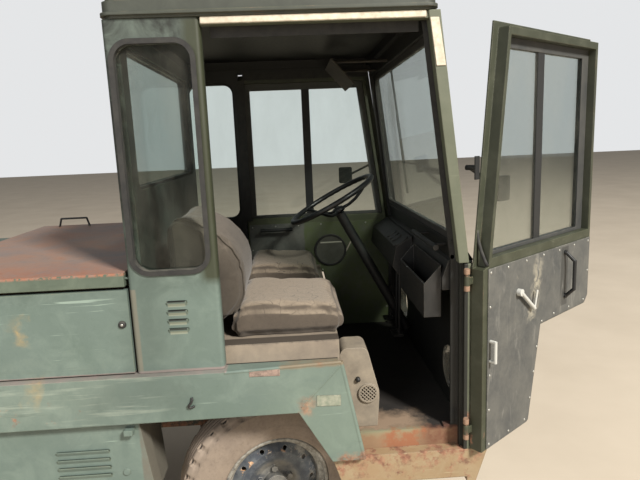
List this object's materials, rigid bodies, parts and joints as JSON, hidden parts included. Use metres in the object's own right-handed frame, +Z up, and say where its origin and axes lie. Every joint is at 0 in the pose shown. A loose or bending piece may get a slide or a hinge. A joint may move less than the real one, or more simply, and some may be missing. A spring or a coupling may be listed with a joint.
{
  "type": "airport baggage tug",
  "caption": "Small forward-cab tow tractor with swinging doors, lifting engine lid, steered front wheels and tow couplings at both ends.",
  "frame": {"origin": "centre of the rear coupling's pin bore, midway between its two plates", "axes": "+X forward, +Y to the vehicle's left, +Z up along the coupling pin"},
  "size_m": [3.4627, 1.3902, 2.15],
  "materials": {
    "frame_paint": "dull dark green paint with rust",
    "axle_iron": "dirty cast iron",
    "spring_steel": "rusty spring steel",
    "tyre": "dusty worn rubber",
    "rim_paint": "scuffed blue-black paint",
    "engine_iron": "oily cast iron",
    "floor_steel": "dirt and rust over green paint",
    "seat_base_paint": "dusty pale paint",
    "body_paint": "weathered pale green paint",
    "post_paint": "weathered olive green paint",
    "bumper_paint": "chipped green paint with rust",
    "lid_paint": "rusty paint",
    "coupling_steel": "dark worn steel",
    "window_glass": "dusty clear glass",
    "window_rubber": "dull black rubber",
    "dash_plastic": "dull black",
    "wheel_plastic": "worn black plastic",
    "control_metal": "black with worn edges",
    "seat_fabric": "torn dark brown cloth",
    "heater_paint": "dusty grey paint",
    "door_trim": "scuffed dark grey board",
    "visor_board": "faded brown board",
    "wiper_metal": "matt black",
    "lamp_glass": "ribbed lamp glass",
    "tail_lens": "red lens"
  },
  "bodies": {
    "body": {"chassis_frame": "frame_paint", "front_axle": "axle_iron", "rear_axle": "axle_iron", "leaf_springs": "spring_steel", "engine_block": "engine_iron", "cab_floor": "floor_steel", "seat_base": "seat_base_paint", "cab_rear_wall": "body_paint", "quarter_panels": "body_paint", "roof": "body_paint", "windscreen_frame": "post_paint", "front_panel": "body_paint", "front_bumper": "bumper_paint", "side_skirts": "body_paint", "side_boxes": "body_paint", "rear_body": "body_paint", "rear_coupling": "coupling_steel", "cab_glass": "window_glass", "window_seals": "window_rubber", "dashboard": "dash_plastic", "steering_column": "dash_plastic", "cab_controls": "control_metal", "passenger_seat": "seat_fabric", "driver_seat": "seat_fabric", "heater": "heater_paint", "sun_visor": "visor_board", "wiper": "wiper_metal", "headlights": "lamp_glass", "tail_lights": "tail_lens"},
    "door_left": {"door_left": "body_paint", "door_glass_left": "window_glass", "door_fittings_left": "door_trim"},
    "door_right": {"door_right": "body_paint", "door_glass_right": "window_glass", "door_fittings_right": "door_trim"},
    "engine_door_left": {"engine_door_left": "body_paint"},
    "engine_door_right": {"engine_door_right": "body_paint"},
    "engine_lid": {"engine_lid": "lid_paint"},
    "steering_wheel": {"steering_wheel": "wheel_plastic"},
    "knuckle_left": {"knuckle_left": "axle_iron"},
    "knuckle_right": {"knuckle_right": "axle_iron"},
    "tie_rod": {"tie_rod": "axle_iron"},
    "front_wheel_left": {"tyre_front_left": "tyre", "rim_front_left": "rim_paint"},
    "front_wheel_right": {"tyre_front_right": "tyre", "rim_front_right": "rim_paint"},
    "rear_wheel_left": {"tyre_rear_left": "tyre", "rim_rear_left": "rim_paint"},
    "rear_wheel_right": {"tyre_rear_right": "tyre", "rim_rear_right": "rim_paint"}
  },
  "joints": [
    {"name": "steer_right", "type": "hinge", "parent": "body", "child": "knuckle_right", "pos_m": [2.015, -0.306, -0.06], "axis": [0, 0, 1], "range_deg": [-39, 11]},
    {"name": "steer_left", "type": "hinge", "parent": "body", "child": "knuckle_left", "pos_m": [2.015, 0.306, -0.06], "axis": [0, 0, 1], "range_deg": [-39, 11]},
    {"name": "tie_rod_turn", "type": "hinge", "parent": "knuckle_right", "child": "tie_rod", "pos_m": [1.89856, -0.33503, -0.132], "axis": [0, 0, 1], "range_deg": [-11, 39]},
    {"name": "steering_wheel_turn", "type": "hinge", "parent": "body", "child": "steering_wheel", "pos_m": [2.367, 0.28, 0.977], "axis": [-0.4695, 0, 0.8829], "range_deg": [-624, 176]},
    {"name": "front_wheel_right_spin", "type": "hinge", "parent": "knuckle_right", "child": "front_wheel_right", "pos_m": [2.04161, -0.41273, -0.06], "axis": [-0.2419, 0.9703, 0], "continuous": true},
    {"name": "front_wheel_left_spin", "type": "hinge", "parent": "knuckle_left", "child": "front_wheel_left", "pos_m": [1.98839, 0.41273, -0.06], "axis": [-0.2419, 0.9703, 0], "continuous": true},
    {"name": "rear_wheel_right_spin", "type": "hinge", "parent": "body", "child": "rear_wheel_right", "pos_m": [0.54, -0.416, -0.06], "axis": [0, 1, 0], "continuous": true},
    {"name": "rear_wheel_left_spin", "type": "hinge", "parent": "body", "child": "rear_wheel_left", "pos_m": [0.54, 0.416, -0.06], "axis": [0, 1, 0], "continuous": true},
    {"name": "door_right_swing", "type": "hinge", "parent": "body", "child": "door_right", "pos_m": [2.743, -0.66, 0.78], "axis": [0, 0, 1], "range_deg": [-218, 0]},
    {"name": "door_left_swing", "type": "hinge", "parent": "body", "child": "door_left", "pos_m": [2.743, 0.66, 0.78], "axis": [0, 0, 1], "range_deg": [-218, 0]},
    {"name": "engine_door_right_swing", "type": "hinge", "parent": "body", "child": "engine_door_right", "pos_m": [0.821, -0.65, 0.66], "axis": [0, 0, 1], "range_deg": [-100, 0]},
    {"name": "engine_door_left_swing", "type": "hinge", "parent": "body", "child": "engine_door_left", "pos_m": [0.821, 0.65, 0.66], "axis": [0, 0, 1], "range_deg": [0, 100]},
    {"name": "engine_lid_lift", "type": "hinge", "parent": "body", "child": "engine_lid", "pos_m": [1.206, -0.628, 0.842], "axis": [1, 0, 0], "range_deg": [0, 70]}
  ],
  "couplings": [
    {"joint": "steer_left", "follows": "steer_right", "ratio": 1},
    {"joint": "tie_rod_turn", "follows": "steer_right", "ratio": -1},
    {"joint": "steering_wheel_turn", "follows": "steer_right", "ratio": 16}
  ]
}
